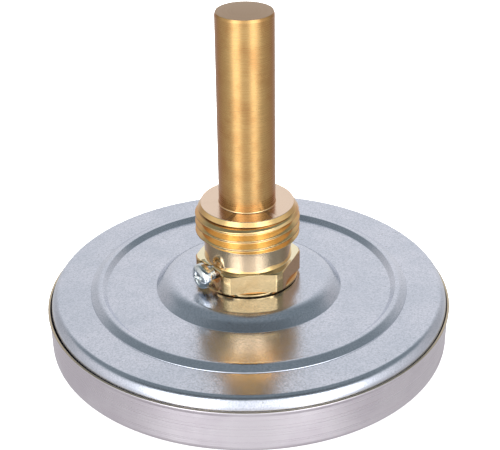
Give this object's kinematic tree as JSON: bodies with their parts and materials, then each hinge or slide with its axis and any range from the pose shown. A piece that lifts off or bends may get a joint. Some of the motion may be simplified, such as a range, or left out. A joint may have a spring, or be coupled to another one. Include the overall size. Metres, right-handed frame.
{
  "type": "dial thermometer",
  "caption": "Bimetal dial thermometer with a back-entry stem in a threaded brass pocket held by a side clamp screw; it lies face down.",
  "frame": {"origin": "centre of the bezel's front rim, on the surface that the thermometer lies face down on", "axes": "+Z along the stem, away from the dial; +Y is the dial's 12 o'clock; +X is its 9 o'clock, where the pointer rests"},
  "size_m": [0.0822, 0.0822, 0.0702],
  "materials": {
    "galvanised_steel": "matt zinc coating",
    "satin_steel": "satin",
    "brass": "turned",
    "plated_screw": "bright zinc plate",
    "window": "clear",
    "rubber": "matt",
    "dial_white": "matt white",
    "pointer_black": "matt black",
    "ring_polymer": "moulded",
    "bimetal": "rolled strip"
  },
  "bodies": {
    "case": {"bezel_ring": "satin_steel", "window_glass": "window", "window_gasket": "rubber", "dial_spacer_ring": "ring_polymer", "dial_plate": "dial_white", "stop_pin": "brass", "dial_support_ring": "ring_polymer", "rear_case": "galvanised_steel", "neck_sleeve": "brass", "neck_flange": "brass", "neck_lock_ring": "satin_steel", "stem_tube": "satin_steel", "dial_bearing": "brass", "coil_anchor": "satin_steel", "tip_bearing": "brass", "bimetal_coil": "bimetal"},
    "pointer": {"spindle": "satin_steel", "coil_collar": "brass", "thrust_collar": "brass", "pointer_hub": "brass", "pointer_blade": "pointer_black"},
    "pocket": {"pocket_plug": "brass", "pocket_tube": "brass"},
    "clamp_screw": {"clamp_screw": "plated_screw"}
  },
  "joints": [
    {"name": "pointer_turn", "type": "hinge", "parent": "case", "child": "pointer", "pos_m": [0, 0, 0.0049], "axis": [0, 0, 1], "range_deg": [-74.5, 254.5], "stiffness_Nm_per_rad": 0.0004},
    {"name": "pocket_slide", "type": "slide", "parent": "case", "child": "pocket", "axis": [0, 0, 1], "range_m": [0, 0.06]},
    {"name": "clamp_screw_travel", "type": "slide", "parent": "pocket", "child": "clamp_screw", "axis": [-0.7986, -0.6018, 0], "range_m": [0, 0.0045]}
  ]
}
